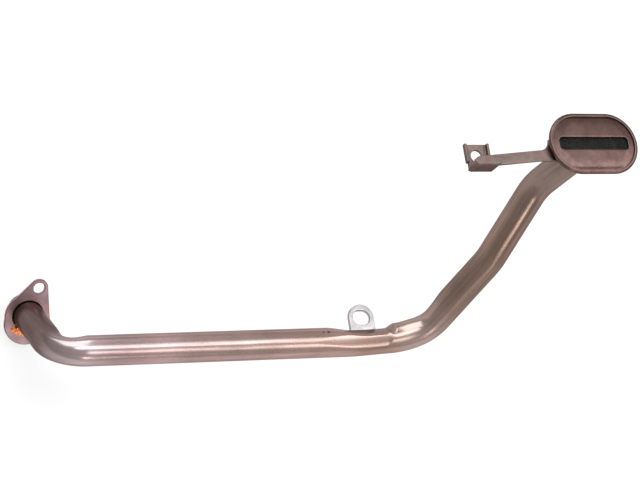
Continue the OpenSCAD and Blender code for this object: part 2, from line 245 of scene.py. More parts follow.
# Dark marks: pits on the run, by distance along it and radius, and a spot on the strut, from the head
PIT_TURN = 62
PITS = ((0.1785, 0.0009), (0.1825, 0.0013))
STRUT_SPOT = (-0.037, -0.008, -0.006)
STRUT_SPOT_R = 0.0016

# The camera, with its lens and sensor in millimetres
CAMERA_POS = (-0.532218, -0.508341, 1.625871)
CAMERA_UP = (0.01443606, 0.94298901, 0.33251065)
CAMERA_BACK = (-0.40957678, -0.29778986, 0.86230392)
CAMERA_LENS = 138.35
CAMERA_SENSOR = 36
CAMERA_CLIP = (0.05, 50)

# The stage: how far the lamps stand, the world's light from its dim to its bright side, and the floor
LAMP_DISTANCE = 1.6
WORLD_BRIGHT_SIDE = (0.75, 0.6, 0.25)
WORLD_SPAN = (-1.0, 0.6)
WORLD_LIGHT = (0.56, 0.64)
FLOOR_GAP = 0.0002
FLOOR_HALF = 6.0
FLOOR_GLOW = 0.75
PAPER_SCALE = 6.0
PAPER_TONES = ((0.93, 0.93, 0.93, 1), (0.96, 0.96, 0.955, 1))

Station = namedtuple("Station", "point axis s")
Lamp = namedtuple("Lamp", "name direction size radiance colour")


def lean_dir(lean, heading):
    """Direction that leans from +Z towards a compass heading, both in degrees."""
    lean, heading = math.radians(lean), math.radians(heading)
    flat = math.sin(lean)
    return Vector((flat * math.cos(heading), flat * math.sin(heading), math.cos(lean)))


def across_run(turn):
    """Direction square to the run, in degrees from +Y towards +Z."""
    return Vector((0, math.cos(math.radians(turn)), math.sin(math.radians(turn))))


def smooth(low, high, value):
    """0 at low, 1 at high and a smooth rise between them."""
    t = min(max((value - low) / (high - low), 0), 1)
    return t * t * (3 - 2 * t)


def smooth_min(a, b, blend):
    """The lesser of a and b, rounded where they are nearly equal."""
    near = max(blend - abs(a - b), 0) / blend
    return min(a, b) - near * near * blend / 4


def split(low, high, step):
    """Evenly spaced values from low towards high, without high."""
    count = max(1, math.ceil((high - low) / step))
    return [low + (high - low) * i / count for i in range(count)]


HEADINGS = (
    lean_dir(PORT_LEAN, PORT_HEADING),
    Vector((1, 0, 0)),
    lean_dir(LEG_LEAN, LEG_HEADINGS[0]),
    lean_dir(LEG_LEAN, LEG_HEADINGS[1]),
    lean_dir(ENTRY_LEAN, ENTRY_HEADING),
)


def bend_turn(bend):
    """Angle through which a bend turns the pipe."""
    return HEADINGS[bend].angle(HEADINGS[bend + 1])


def bend_inward(bend, angle=0.0):
    """Direction towards a bend's centre, at an angle from the bend's start."""
    before, after = HEADINGS[bend], HEADINGS[bend + 1]
    inward = (after - before * before.dot(after)).normalized()
    return inward * math.cos(angle) - before * math.sin(angle)


def bend_side(bend):
    """Direction square to the plane of a bend."""
    return HEADINGS[bend].cross(HEADINGS[bend + 1]).normalized()


def bend_start(bend):
    """Distance along the pipe at which a bend starts."""
    arcs = sum(BEND_RADII[i] * bend_turn(i) for i in range(bend))
    return sum(LEG_LENGTHS[: bend + 1]) + arcs


RUN_END = bend_start(1)
PIPE_LEN = bend_start(len(BEND_RADII))


def straight_marks(leg):
    """Distances along a straight between which its rings are spread."""
    if leg > 0:
        return [0, LEG_LENGTHS[leg]]
    return [-SPIGOT_LEN, LEAD_IN - SPIGOT_LEN, -SPIGOT_STEP, 0, LEG_LENGTHS[0]]


def eased(point, s):
    """A point of the axis, drawn towards the inside of the second bend where that bend starts early."""
    to_bend = s - RUN_END
    rise = smooth(-EASE_LEAD, EASE_PEAK, to_bend)
    return point + EASE_DEPTH * rise * smooth(EASE_TAIL, EASE_PEAK, to_bend) * bend_inward(1)


def pipe_stations():
    """Places along the pipe's axis, from the sized end to the head."""
    stations = []
    start, s = Vector((0, 0, 0)), 0.0
    for leg, heading in enumerate(HEADINGS):
        marks = straight_marks(leg)
        for low, high in zip(marks, marks[1:]):
            for d in split(low, high, RING_STEP):
                stations.append(Station(eased(start + d * heading, s + d), heading, s + d))
        end = start + LEG_LENGTHS[leg] * heading
        s += LEG_LENGTHS[leg]
        if leg == len(HEADINGS) - 1:
            stations.append(Station(end, heading, s))
            break
        start, s = add_bend(stations, leg, end, s)
    return stations


def add_bend(stations, bend, end, s):
    """Adds a bend's stations after its straight, and returns where the next straight starts."""
    radius, turn = BEND_RADII[bend], bend_turn(bend)
    centre = end + radius * bend_inward(bend)
    for angle in split(0, turn, RING_STEP / radius):
        axis = HEADINGS[bend] * math.cos(angle) + bend_inward(bend) * math.sin(angle)
        here = s + radius * angle
        stations.append(Station(eased(centre - radius * bend_inward(bend, angle), here), axis, here))
    return centre - radius * bend_inward(bend, turn), s + radius * turn


def press_share(press, s):
    """Share of its full depth that a press has at a distance along the pipe."""
    past = s - RUN_END
    ramp = smooth(press.ramp_start, press.ramp_end, past)
    return ramp * smooth(press.step_end, press.step_start, past)


def pressed_r(radius, press, s, direction):
    """Radius of the wall in a direction after one press, smaller where its die reached."""
    share = press_share(press, s)
    toward = direction.dot(across_run(press.turn))
    if share < PRESS_LEAST_SHARE or toward < PRESS_LEAST_FACING:
        return radius
    offset = TUBE_R - share * press.depth - press.die
    wall = radius - TUBE_R
    die = offset * toward + math.sqrt(press.die ** 2 - offset ** 2 * (1 - toward ** 2)) + wall
    return smooth_min(radius, die, min(PRESS_EDGE, share * press.depth))


def dent_depth(dent, s, direction):
    """Depth in a direction of a dent at a bend."""
    radius, turn = BEND_RADII[dent.bend], bend_turn(dent.bend)
    past = s - bend_start(dent.bend)
    off = min(abs(past - dent.place * radius * turn) / dent.half_len, 1)
    angle = min(max(past / radius, 0), turn)
    turned = math.radians(dent.turn)
    middle = math.cos(turned) * bend_inward(dent.bend, angle) + math.sin(turned) * bend_side(dent.bend)
    return dent.depth * (1 - off * off) ** 2 * max(0, direction.dot(middle)) ** 2


def outside_r(s):
    """Radius of the pipe's outside, smaller at the sized end."""
    if s >= 0:
        return TUBE_R
    return SPIGOT_R - max(0, LEAD_IN - SPIGOT_LEN - s)


def wall_r(radius, station, direction):
    """Radius of the pipe's wall in a direction, with its presses, dents and slight waves."""
    for press in (SIDE_PRESS, OPEN_PRESS):
        radius = pressed_r(radius, press, station.s, direction)
    for dent in DENTS:
        radius -= dent_depth(dent, station.s, direction)
    if station.s > WAVE_START:
        radius += WAVE_DEPTH * (noise.noise(station.point * WAVE_SCALE + direction) - WAVE_BIAS)
    return radius


def pipe_ring(station, side, radius):
    """One ring of the pipe's wall and the surface coordinates of its vertices."""
    up = station.axis.cross(side)
    points, coords = [], []
    for i in range(RING_SIDES):
        angle = 2 * math.pi * i / RING_SIDES
        direction = math.cos(angle) * side + math.sin(angle) * up
        points.append(station.point + wall_r(radius, station, direction) * direction)
        coords.append((TUBE_R * math.cos(angle), TUBE_R * math.sin(angle), station.s))
    return points, coords


def loft(name, rings):
    """Closed mesh through rings of points, the last of which joins the first."""
    sides = len(rings[0])
    faces = []
    for i in range(len(rings)):
        a, b = i * sides, (i + 1) % len(rings) * sides
        faces += [(a + j, a + (j + 1) % sides, b + (j + 1) % sides, b + j) for j in range(sides)]
    mesh = bpy.data.meshes.new(name)
    mesh.from_pydata([p for ring in rings for p in ring], [], faces)
    mesh.update()
    return mesh


def face_out(mesh):
    """Turns all faces of a closed mesh outwards."""
    bm = bmesh.new()
    bm.from_mesh(mesh)
    bmesh.ops.recalc_face_normals(bm, faces=bm.faces)
    bm.to_mesh(mesh)
    bm.free()


def show(mesh, node, slot, *materials):
    """Links a mesh to the scene in place of a CAD node."""
    obj = bpy.data.objects.new(mesh.name, mesh)
    bpy.context.scene.collection.objects.link(obj)
    for material in materials:
        mesh.materials.append(material)
    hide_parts(node)
    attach(obj, "root")
    return obj


def shade(mesh, sharp_angle):
    """Smooth shading, with sharp edges where faces meet at more than an angle in degrees."""
    mesh.shade_smooth()
    mesh.set_sharp_from_angle(angle=math.radians(sharp_angle))


def build_pipe(material):
    """The pipe's outside and bore, with surface coordinates for its finish."""
    outer, inner = [], []
    side = Vector((1, 0, 0))
    axis = HEADINGS[0]
    for station in pipe_stations():
        side = axis.rotation_difference(station.axis) @ side
        axis = station.axis
        outer.append(pipe_ring(station, side, outside_r(station.s)))
        inner.append(pipe_ring(station, side, BORE_R))
    rings = outer + inner[::-1]
    mesh = loft("pipe_wall", [points for points, _ in rings])
    layer = mesh.attributes.new("pipe_coord", "FLOAT_VECTOR", "POINT")
    layer.data.foreach_set("vector", [c for _, coords in rings for coord in coords for c in coord])
    face_out(mesh)
    shade(mesh, PIPE_SHARP)
    show(mesh, "pickup_tube", "tube_steel", material)


def soften(node, name, width, slot, *materials):
    """Shows a copy of a CAD node with its edges rounded, in the last of its materials."""
    bm = bmesh.new()
    bm.from_mesh(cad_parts[node].data)
    bmesh.ops.remove_doubles(bm, verts=bm.verts, dist=MERGE_GAP)
    before = BVHTree.FromBMesh(bm)
    edges = [e for e in bm.edges if e.is_manifold and e.calc_face_angle() > EDGE_ANGLE]
    bmesh.ops.bevel(
        bm,
        geom=edges,
        offset=width,
        segments=ROUND_STEPS,
        profile=0.5,
        affect="EDGES",
        clamp_overlap=False,
        material=len(materials) - 1,
    )
    for vertex in bm.verts:
        nearest, _, _, distance = before.find_nearest(vertex.co)
        if distance > width / 2:
            vertex.co = nearest
    mesh = bpy.data.meshes.new(name)
    bm.to_mesh(mesh)
    bm.free()
    shade(mesh, SHEET_SHARP)
    obj = show(mesh, node, slot, *materials)
    normals = obj.modifiers.new("even_normals", "WEIGHTED_NORMAL")
    normals.keep_sharp = True


def puddle_height(turn, grown, q):
    """Height of the copper on the flange, at a share q of the way from the pipe to its edge."""
    rough = noise.noise(Vector((turn * LUMP_TURN_SCALE, q * LUMP_ACROSS_SCALE, LUMP_PLACE)))
    crest = math.sin(math.pi * q) * (PUDDLE_DOME + PUDDLE_LUMP * rough)
    return FLANGE_T + grown * (PUDDLE_RISE * (1 - q) ** 2 + crest)


def braze_profile(turn):
    """Section of the braze at an angle around the pipe, as radius and height."""
    grown = smooth(PUDDLE_TIP_START, PUDDLE_TIP_END, turn)
    grown *= smooth(PUDDLE_END, PUDDLE_END - PUDDLE_FADE, turn)
    lump = noise.noise(Vector((turn * EDGE_TURN_SCALE, *EDGE_PLACE)))
    edge_r = BRAZE_R + smooth(0, PUDDLE_REACH_FULL, grown) * (PUDDLE_REACH + PUDDLE_LUMP * lump)
    edge_z = FLANGE_T if grown > 0 else BRAZE_LEVEL
    inner_r = edge_r - (edge_r - TUBE_R + PUDDLE_UNDER) * smooth(PUDDLE_START, PUDDLE_MEET, turn)
    section = [(TUBE_R, 0)]
    for i in range(BRAZE_STEPS + 1):
        q = i / BRAZE_STEPS
        r = TUBE_R + (edge_r - TUBE_R) * q
        low = min(edge_z, FLANGE_T - PUDDLE_SINK) if r > BRAZE_R else BRAZE_LEVEL
        cover = smooth(inner_r - PUDDLE_EDGE_IN, inner_r + PUDDLE_EDGE_OUT, r) if grown > 0 else 0
        section.append((r, low + cover * (puddle_height(turn, grown, q) - low)))
    section += [(BRAZE_R, min(edge_z, FLANGE_T - PUDDLE_SINK)), (BRAZE_R, 0)]
    return section


def build_braze(material):
    """The copper around the pipe in the flange, and the streak that ran out over it."""
    port = Matrix.Rotation(math.radians(PORT_LEAN), 3, "X")
    rings = []
    for turn in range(0, 360, BRAZE_TURN_STEP):
        out = Vector((math.cos(math.radians(turn)), math.sin(math.radians(turn)), 0))
        rings.append([port @ (r * out + Vector((0, 0, z))) for r, z in braze_profile(turn)])
    mesh = loft("flange_braze_lumps", rings)
    face_out(mesh)
    shade(mesh, BRAZE_SHARP)
    show(mesh, "flange_braze", "braze_copper", material)


def head_centre():
    """Centre of the head, level with the middle of its rolled rim."""
    low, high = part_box("screen")
    middle = (low + high) / 2
    return Vector((middle.x, middle.y, middle.z - GAUZE_MID))


def contour(half_x, half_y, radius, z):
    """Rounded outline around the head's centre, with its corners at half_x and half_y."""
    centre, points = head_centre(), []
    for i in range(4 * CORNER_STEPS):
        angle = 2 * math.pi * (i + 0.5) / (4 * CORNER_STEPS)
        x, y = math.cos(angle), math.sin(angle)
        corner = Vector((math.copysign(half_x, x), math.copysign(half_y, y), z))
        points.append(centre + corner + radius * Vector((x, y, 0)))
    return points


def oval(radius, z):
    """Outline like the head's own, with round ends of a radius."""
    return contour(HEAD_SIDE, 0, radius, z)


def inlet(grow, z):
    """Outline of the inlet, made larger all around."""
    half_x, half_y = INLET_LEN / 2 - INLET_CORNER, INLET_W / 2 - INLET_CORNER
    return contour(half_x, half_y, INLET_CORNER + grow, z)


def arc(radius, z, size, start, end, steps):
    """Points of an arc in a section, as distance and height, with angles in degrees."""
    points = []
    for i in range(steps + 1):
        angle = math.radians(start + (end - start) * i / steps)
        points.append((radius + size * math.cos(angle), z + size * math.sin(angle)))
    return points


def cup_side(inset):
    """Section of the cup from its back to the ledge, inset by a wall."""
    lean = math.degrees(CUP_LEAN)
    corner_r = CUP_BACK_R + CUP_ROUND * math.tan(CUP_LEAN) - CUP_ROUND / math.cos(CUP_LEAN)
    corner_z = CUP_ROUND - CUP_DEPTH
    points = [(CUP_MIDDLE_R, inset - CUP_DEPTH)]
    points += arc(corner_r, corner_z, CUP_ROUND - inset, -90, -lean, CUP_STEPS)
    foot_r, foot_z = points[-1]
    top_z = inset - CURL_R
    points.append((foot_r + (top_z - foot_z) * math.tan(CUP_LEAN), top_z))
    return points


def build_head_shell(*materials):
    """The cup with its rolled rim, whose lip has the last of the materials."""
    section = cup_side(0)
    section += arc(CURL_AXIS_R, 0, CURL_R, -90, 90, CURL_STEPS)
    lip = arc(LIP_R + LIP_EDGE, CURL_R - LIP_EDGE, LIP_EDGE, 90, 180, LIP_STEPS)
    lip_rings = range(len(section) - 1, len(section) + len(lip) - 1)
    section += lip + [(LIP_R, SLOT_HALF)]
    section += arc(CURL_AXIS_R, 0, SLOT_HALF, 90, -90, SLOT_STEPS)
    section += cup_side(SHELL_T)[::-1]
    mesh = loft("head_cup", [oval(r, z) for r, z in section])
    face_out(mesh)
    shade(mesh, SHEET_SHARP)
    show(mesh, "head_shell", "head_steel", *materials)
    for polygon in mesh.polygons:
        if polygon.index // (4 * CORNER_STEPS) in lip_rings:
            polygon.material_index = len(materials) - 1


def crowned(ring, centre):
    """A ring of the inlet face, lowered towards the rim, where the face droops further in at its ends."""
    rise = FACE_TOP - PLATE_LOW - PLATE_T
    points = []
    for point in ring:
        off = point - centre
        past_side = max(0, abs(off.x) - HEAD_SIDE)
        out = math.hypot(past_side, off.y)
        toward_end = smooth(0, FACE_END_FULL, past_side / max(out, MERGE_GAP))
        flat_r = FACE_SIDE_R + (FACE_END_R - FACE_SIDE_R) * toward_end
        share = min(max((out - flat_r) / (FACE_EDGE_R - flat_r), 0), 1)
        points.append(point - Vector((0, 0, rise * share * share)))
    return points


def face_rings(z, steps):
    """Rings of the inlet face from its edge at the rim towards the inlet's rounding, at one height."""
    edge, mouth = oval(FACE_EDGE_R, z), inlet(INLET_ROUND, z)
    return [[a.lerp(b, i / steps) for a, b in zip(edge, mouth)] for i in range(steps)]


def build_inlet_plate(*materials):
    """The plate with its drooping face and the lip that turns in around the inlet."""
    centre = head_centre()
    under_z = FACE_TOP - PLATE_T
    top = face_rings(FACE_TOP, FACE_STEPS)
    for grow, z in arc(INLET_ROUND, FACE_TOP - INLET_ROUND, INLET_ROUND, 90, 180, INLET_STEPS):
        top.append(inlet(grow, z))
    under = [inlet(INLET_LIP_T, under_z)] + face_rings(under_z, UNDER_STEPS)[::-1]
    rings = [oval(CURL_AXIS_R, PLATE_LOW), oval(CURL_AXIS_R, PLATE_LOW + PLATE_T)]
    rings += [crowned(ring, centre) for ring in top]
    rings += [inlet(0, INLET_LIP_LOW), inlet(INLET_LIP_T, INLET_LIP_LOW)]
    rings += [crowned(ring, centre) for ring in under]
    mesh = loft("inlet_face", rings)
    face_out(mesh)
    shade(mesh, SHEET_SHARP)
    show(mesh, "inlet_plate", "head_steel", *materials)


def half_chord(across, along_side):
    """Half length of a line through the head's oval, at a distance from its middle."""
    if along_side:
        return HEAD_SIDE + math.sqrt(CURL_AXIS_R ** 2 - across ** 2)
    beyond = max(0, abs(across) - HEAD_SIDE)
    return math.sqrt(max(0, CURL_AXIS_R ** 2 - beyond ** 2))


def wire_points(centre, index, across, along, side):
    """Centreline of one wire of the gauze, over and under the wires that cross it."""
    offset = index * GAUZE_PITCH
    half = half_chord(offset, along.x > 0) - WIRE_R
    points = []
    for d in split(-half, half + GAUZE_PITCH / 4, GAUZE_PITCH / 2):
        weave = side * math.cos(math.pi * (d / GAUZE_PITCH + index))
        height = Vector((0, 0, GAUZE_MID + WIRE_R * weave))
        points.append(centre + offset * across + d * along + height)
    return points


def wire_rings(points, along):
    """Rings of a thin wire through points that run mostly along one direction."""
    up = Vector((0, 0, 1))
    side = up.cross(along)
    angles = [2 * math.pi * i / WIRE_SIDES for i in range(WIRE_SIDES)]
    around = [WIRE_R * (math.cos(a) * side + math.sin(a) * up) for a in angles]
    return [[p + r for r in around] for p in points]


def add_wire(vertices, faces, rings):
    """Adds a capped tube through rings to lists of vertices and faces."""
    start, sides = len(vertices), len(rings[0])
    for ring in rings:
        vertices.extend(ring)
    for i in range(len(rings) - 1):
        a, b = start + i * sides, start + (i + 1) * sides
        faces.extend((a + j, a + (j + 1) % sides, b + (j + 1) % sides, b + j) for j in range(sides))
    faces.append(tuple(range(start + sides - 1, start - 1, -1)))
    last = start + (len(rings) - 1) * sides
    faces.append(tuple(range(last, last + sides)))


def build_gauze(material):
    """The woven wires of the screen, in two directions."""
    centre = head_centre()
    x, y = Vector((1, 0, 0)), Vector((0, 1, 0))
    vertices, faces = [], []
    rows = int((CURL_AXIS_R - WIRE_R * 2) / GAUZE_PITCH)
    cols = int((CURL_AXIS_R + HEAD_SIDE - WIRE_R * 2) / GAUZE_PITCH)
    wires = [(i, y, x, 1) for i in range(-rows, rows + 1)]
    wires += [(i, x, y, -1) for i in range(-cols, cols + 1)]
    for index, across, along, side in wires:
        rings = wire_rings(wire_points(centre, index, across, along, side), along)
        add_wire(vertices, faces, rings)
    mesh = bpy.data.meshes.new("gauze_wires")
    mesh.from_pydata(vertices, [], faces)
    mesh.update()
    face_out(mesh)
    shade(mesh, WIRE_SHARP)
    show(mesh, "screen", "screen_wire", material)


class Finish:
    """A metal finish built from nodes."""

    def __init__(self, name):
        self.material = bpy.data.materials.new(name)
        self.material.use_nodes = True
        self.tree = self.material.node_tree
        self.surface = self.tree.nodes["Principled BSDF"]
        self.surface.inputs["Metallic"].default_value = 1.0
        self.surface.inputs["Specular Tint"].default_value = (*EDGE_TINT, 1)
        self.place = self.tree.nodes.new("ShaderNodeTexCoord").outputs["Object"]

    def link(self, source, target):
        self.tree.links.new(source, target)

    def noise(self, scale, detail, place=None, rough=0.5):
        """Noise at a scale, by the place on the object or by other coordinates."""
        node = self.tree.nodes.new("ShaderNodeTexNoise")
        node.inputs["Scale"].default_value = scale
        node.inputs["Detail"].default_value = detail
        node.inputs["Roughness"].default_value = rough
        self.link(place or self.place, node.inputs["Vector"])
        return node.outputs["Fac"]

    def stretch(self, source, factors):
        """Coordinates times a factor for each axis."""
        node = self.tree.nodes.new("ShaderNodeMapping")
        node.inputs["Scale"].default_value = factors
        self.link(source, node.inputs["Vector"])
        return node.outputs["Vector"]

    def ramp(self, value, stops):
        """Colours that follow a value, from stops of a position and a colour."""
        node = self.tree.nodes.new("ShaderNodeValToRGB")
        elements = node.color_ramp.elements
        while len(elements) < len(stops):
            elements.new(0.5)
        for element, (position, colour) in zip(elements, stops):
            element.position = position
            element.color = (*colour, 1)
        self.link(value, node.inputs["Fac"])
        return node.outputs["Color"]

    def span(self, value, low, high, from_low=NOISE_LOW, from_high=NOISE_HIGH):
        """Low where a value is from_low, high where it is from_high and a straight rise between."""
        node = self.tree.nodes.new("ShaderNodeMapRange")
        node.inputs["From Min"].default_value = from_low
        node.inputs["From Max"].default_value = from_high
        node.inputs["To Min"].default_value = low
        node.inputs["To Max"].default_value = high
        self.link(value, node.inputs["Value"])
        return node.outputs["Result"]

    def near(self, point, radius):
        """1 around a point of the object and 0 beyond a radius from it."""
        node = self.tree.nodes.new("ShaderNodeVectorMath")
        node.operation = "DISTANCE"
        node.inputs[1].default_value = point
        self.link(self.place, node.inputs[0])
        return self.span(node.outputs["Value"], 1.0, 0.0, radius * MARK_CORE, radius)

    def mix(self, fac, under, over):
        """Colour under, with the colour over laid on it where fac is 1."""
        node = self.tree.nodes.new("ShaderNodeMix")
        node.data_type = "RGBA"
        self.link(fac, node.inputs[MIX_FAC])
        self.link(under, node.inputs[MIX_UNDER])
        node.inputs[MIX_OVER].default_value = (*over, 1)
        return node.outputs[MIX_RESULT]

    def tint(self, colour, value, shades):
        """Colour made darker or lighter by two shades of grey that follow a value."""
        node = self.tree.nodes.new("ShaderNodeMix")
        node.data_type = "RGBA"
        node.blend_type = "MULTIPLY"
        node.inputs[MIX_FAC].default_value = 1.0
        low, high = shades
        greys = self.ramp(value, [(NOISE_LOW, (low,) * 3), (NOISE_HIGH, (high,) * 3)])
        self.link(colour, node.inputs[MIX_UNDER])
        self.link(greys, node.inputs[MIX_OVER])
        return node.outputs[MIX_RESULT]

    def times(self, a, b):
        """Product of two values."""
        node = self.tree.nodes.new("ShaderNodeMath")
        node.operation = "MULTIPLY"
        self.link(a, node.inputs[0])
        self.link(b, node.inputs[1])
        return node.outputs["Value"]

    def marked(self, tone, marks):
        """Colour with dark marks on it, each of a point and a radius."""
        for point, radius in marks:
            tone = self.mix(self.near(point, radius), tone, DARK_STEEL)
        return tone

    def done(self, colour, roughness, height, depth):
        """The material, with its colour, its roughness and a relief of a depth."""
        bump = self.tree.nodes.new("ShaderNodeBump")
        bump.inputs["Strength"].default_value = 1.0
        bump.inputs["Distance"].default_value = depth
        self.link(height, bump.inputs["Height"])
        self.link(bump.outputs["Normal"], self.surface.inputs["Normal"])
        self.link(colour, self.surface.inputs["Base Color"])
        self.link(roughness, self.surface.inputs["Roughness"])
        return self.material


def shaded(colour, factor):
    """Colour made darker or lighter."""
    return tuple(c * factor for c in colour)


def sheet_steel(name, colour, rough, marks=()):
    """Satin sheet steel with slow drift, a reddish blush, mottling, fine grain and a few dark marks."""
    finish = Finish(name)
    drift = finish.noise(DRIFT_SCALE, detail=4)
    mottle = finish.noise(MOTTLE_SCALE, detail=5, rough=0.65)
    dark, light = DRIFT_SHADES
    tone = finish.ramp(drift, [(NOISE_LOW, shaded(colour, dark)), (NOISE_HIGH, shaded(colour, light))])
    blush = finish.span(finish.noise(BLUSH_SCALE, detail=3), 0.0, BLUSH_SHARE, *BLUSH_SPAN)
    tone = finish.mix(blush, tone, tuple(c * t for c, t in zip(colour, BLUSH_TINT)))
    mottling = finish.span(mottle, 0.0, MOTTLE_SHARE, *MOTTLE_SPAN)
    tone = finish.mix(mottling, tone, shaded(colour, MOTTLE_SHADE))
    tone = finish.marked(tone, marks)
    less, more = SHEET_ROUGHER
    grain = finish.noise(GRAIN_SCALE, detail=3)
    return finish.done(tone, finish.span(mottle, rough + less, rough + more), grain, GRAIN_DEPTH)


def pipe_steel(name, tints_and_shade, dullness, rough, marks=()):
    """Drawn steel, dulled by heat along its length and tinted along it, partly with painted shade that
    darkens the stub and the legs, with streaks and a few dark marks.
    """
    finish = Finish(name)
    coord = finish.tree.nodes.new("ShaderNodeAttribute")
    coord.attribute_name = "pipe_coord"
    parts = finish.tree.nodes.new("ShaderNodeSeparateXYZ")
    finish.link(coord.outputs["Vector"], parts.inputs["Vector"])
    along_share = finish.span(parts.outputs["Z"], 0.0, 1.0, 0.0, PIPE_LEN)
    # Painted shade: the colours along the pipe darken the stub and the legs.
    tone = finish.ramp(along_share, tints_and_shade)
    tone = finish.tint(tone, finish.noise(CLOUD_SCALE, detail=4), CLOUD_SHADES)
    along = finish.stretch(coord.outputs["Vector"], STREAK_STRETCH)
    streak = finish.noise(STREAK_SCALE, detail=4, place=along, rough=0.6)
    tone = finish.tint(tone, streak, STREAK_SHADES)
    fleck = finish.noise(FLECK_SCALE, detail=2)
    tone = finish.mix(finish.span(fleck, 0.0, FLECK_SHARE, *FLECK_SPAN), tone, DARK_STEEL)
    tone = finish.marked(tone, marks)
    less, more = PIPE_ROUGH_SHARES
    roughness = finish.span(streak, rough * less, rough * more)
    roughness = finish.times(roughness, finish.ramp(along_share, dullness))
    return finish.done(tone, roughness, streak, STREAK_DEPTH)


def braze_copper(name, colour, rough):
    """Bright copper with darker patches, and painted shade where it lies down in the gap."""
    finish = Finish(name)
    patch = finish.noise(PATCH_SCALE, detail=4)
    colours = (shaded(colour, PATCH_SHADE), colour, BRIGHT_COPPER)
    tone = finish.ramp(patch, list(zip(PATCH_STOPS, colours)))
    height = finish.tree.nodes.new("ShaderNodeVectorMath")
    height.operation = "DOT_PRODUCT"
    height.inputs[1].default_value = HEADINGS[0]
    finish.link(finish.place, height.inputs[0])
    # Painted shade: the copper turns dark towards the bottom of the gap around the pipe, where shade
    # falls.
    painted_gap_shade = finish.span(height.outputs["Value"], 1.0, 0.0, FLANGE_T - GAP_SHADE_FULL, FLANGE_T - GAP_SHADE_NONE)
    tone = finish.mix(painted_gap_shade, tone, DARK_STEEL)
    less, more = COPPER_ROUGHER
    grain = finish.noise(COPPER_GRAIN_SCALE, detail=3)
    return finish.done(tone, finish.span(patch, rough + less, rough + more), grain, COPPER_GRAIN_DEPTH)


def aim(obj, back, up):
    """Turns an object so that its -Z looks away from back, with up as near to its +Y as can be."""
    back = Vector(back).normalized()
    right = Vector(up).cross(back).normalized()
    turned = Matrix((right, back.cross(right), back)).transposed()
    obj.rotation_euler = turned.to_euler()


def add_camera():
    """The camera at the photograph's viewing angle."""
    data = bpy.data.cameras.new("camera")
    data.sensor_fit = "HORIZONTAL"
    data.sensor_width = CAMERA_SENSOR
    data.lens = CAMERA_LENS
    data.clip_start, data.clip_end = CAMERA_CLIP
    camera = bpy.data.objects.new("camera", data)
    camera.location = CAMERA_POS
    aim(camera, CAMERA_BACK, CAMERA_UP)
    bpy.context.scene.collection.objects.link(camera)
    bpy.context.scene.camera = camera


def add_lamp(lamp, centre):
    """Soft box that faces the object; a white mirror would show it at its radiance."""
    data = bpy.data.lights.new(lamp.name, "AREA")
    data.shape = "RECTANGLE"
    data.size, data.size_y = lamp.size
    data.energy = lamp.radiance * math.pi * lamp.size[0] * lamp.size[1]
    data.color = lamp.colour
    obj = bpy.data.objects.new(lamp.name, data)
    back = Vector(lamp.direction).normalized()
    obj.location = centre + LAMP_DISTANCE * back
    aim(obj, back, (0, 1, 0))
    bpy.context.scene.collection.objects.link(obj)


def add_world():
    """White surroundings, a little brighter on one side."""
    world = bpy.data.worlds.new("studio")
    world.use_nodes = True
    tree = world.node_tree
    background = tree.nodes["Background"]
    background.inputs["Color"].default_value = (1, 1, 1, 1)
    place = tree.nodes.new("ShaderNodeTexCoord").outputs["Generated"]
    turn = tree.nodes.new("ShaderNodeVectorMath")
    turn.operation = "DOT_PRODUCT"
    turn.inputs[1].default_value = Vector(WORLD_BRIGHT_SIDE).normalized()
    tree.links.new(place, turn.inputs[0])
    ramp = tree.nodes.new("ShaderNodeMapRange")
    names = ("From Min", "From Max", "To Min", "To Max")
    for name, value in zip(names, WORLD_SPAN + WORLD_LIGHT):
        ramp.inputs[name].default_value = value
    tree.links.new(turn.outputs["Value"], ramp.inputs["Value"])
    tree.links.new(ramp.outputs["Result"], background.inputs["Strength"])
    bpy.context.scene.world = world


def paper_colour(tree):
    """Nearly white colour with a faint drift."""
    paper = tree.nodes.new("ShaderNodeTexNoise")
    paper.inputs["Scale"].default_value = PAPER_SCALE
    tint = tree.nodes.new("ShaderNodeValToRGB")
    for element, tone in zip(tint.color_ramp.elements, PAPER_TONES):
        element.color = tone
    tree.links.new(paper.outputs["Fac"], tint.inputs["Fac"])
    return tint.outputs["Color"]


def seen_share(tree):
    """Share of its glow that the floor has for the camera and in metal and glass, and 0 elsewhere."""
    path = tree.nodes.new("ShaderNodeLightPath")
    seen = path.outputs["Is Camera Ray"]
    for other in ("Is Glossy Ray", "Is Transmission Ray"):
        both = tree.nodes.new("ShaderNodeMath")
        both.operation = "MAXIMUM"
        tree.links.new(seen, both.inputs[0])
        tree.links.new(path.outputs[other], both.inputs[1])
        seen = both.outputs["Value"]
    share = tree.nodes.new("ShaderNodeMath")
    share.operation = "MULTIPLY"
    share.inputs[1].default_value = FLOOR_GLOW
    tree.links.new(seen, share.inputs[0])
    return share.outputs["Value"]


def floor_finish():
    """White studio floor that keeps a faint shadow."""
    material = bpy.data.materials.new("studio_floor")
    material.use_nodes = True
    tree = material.node_tree
    tree.nodes.clear()
    matt = tree.nodes.new("ShaderNodeBsdfDiffuse")
    tree.links.new(paper_colour(tree), matt.inputs["Color"])
    glow = tree.nodes.new("ShaderNodeEmission")
    glow.inputs["Strength"].default_value = 1.0
    mix = tree.nodes.new("ShaderNodeMixShader")
    tree.links.new(seen_share(tree), mix.inputs["Fac"])
    tree.links.new(matt.outputs["BSDF"], mix.inputs[1])
    tree.links.new(glow.outputs["Emission"], mix.inputs[2])
    output = tree.nodes.new("ShaderNodeOutputMaterial")
    tree.links.new(mix.outputs["Shader"], output.inputs["Surface"])
    return material


def add_floor():
    """Wide floor just under the object."""
    low = box_before[0].z - FLOOR_GAP
    h = FLOOR_HALF
    mesh = bpy.data.meshes.new("studio_floor")
    mesh.from_pydata([(-h, -h, low), (h, -h, low), (h, h, low), (-h, h, low)], [], [(0, 1, 2, 3)])
    mesh.materials.append(floor_finish())
    floor = bpy.data.objects.new("studio_floor", mesh)
    bpy.context.scene.collection.objects.link(floor)


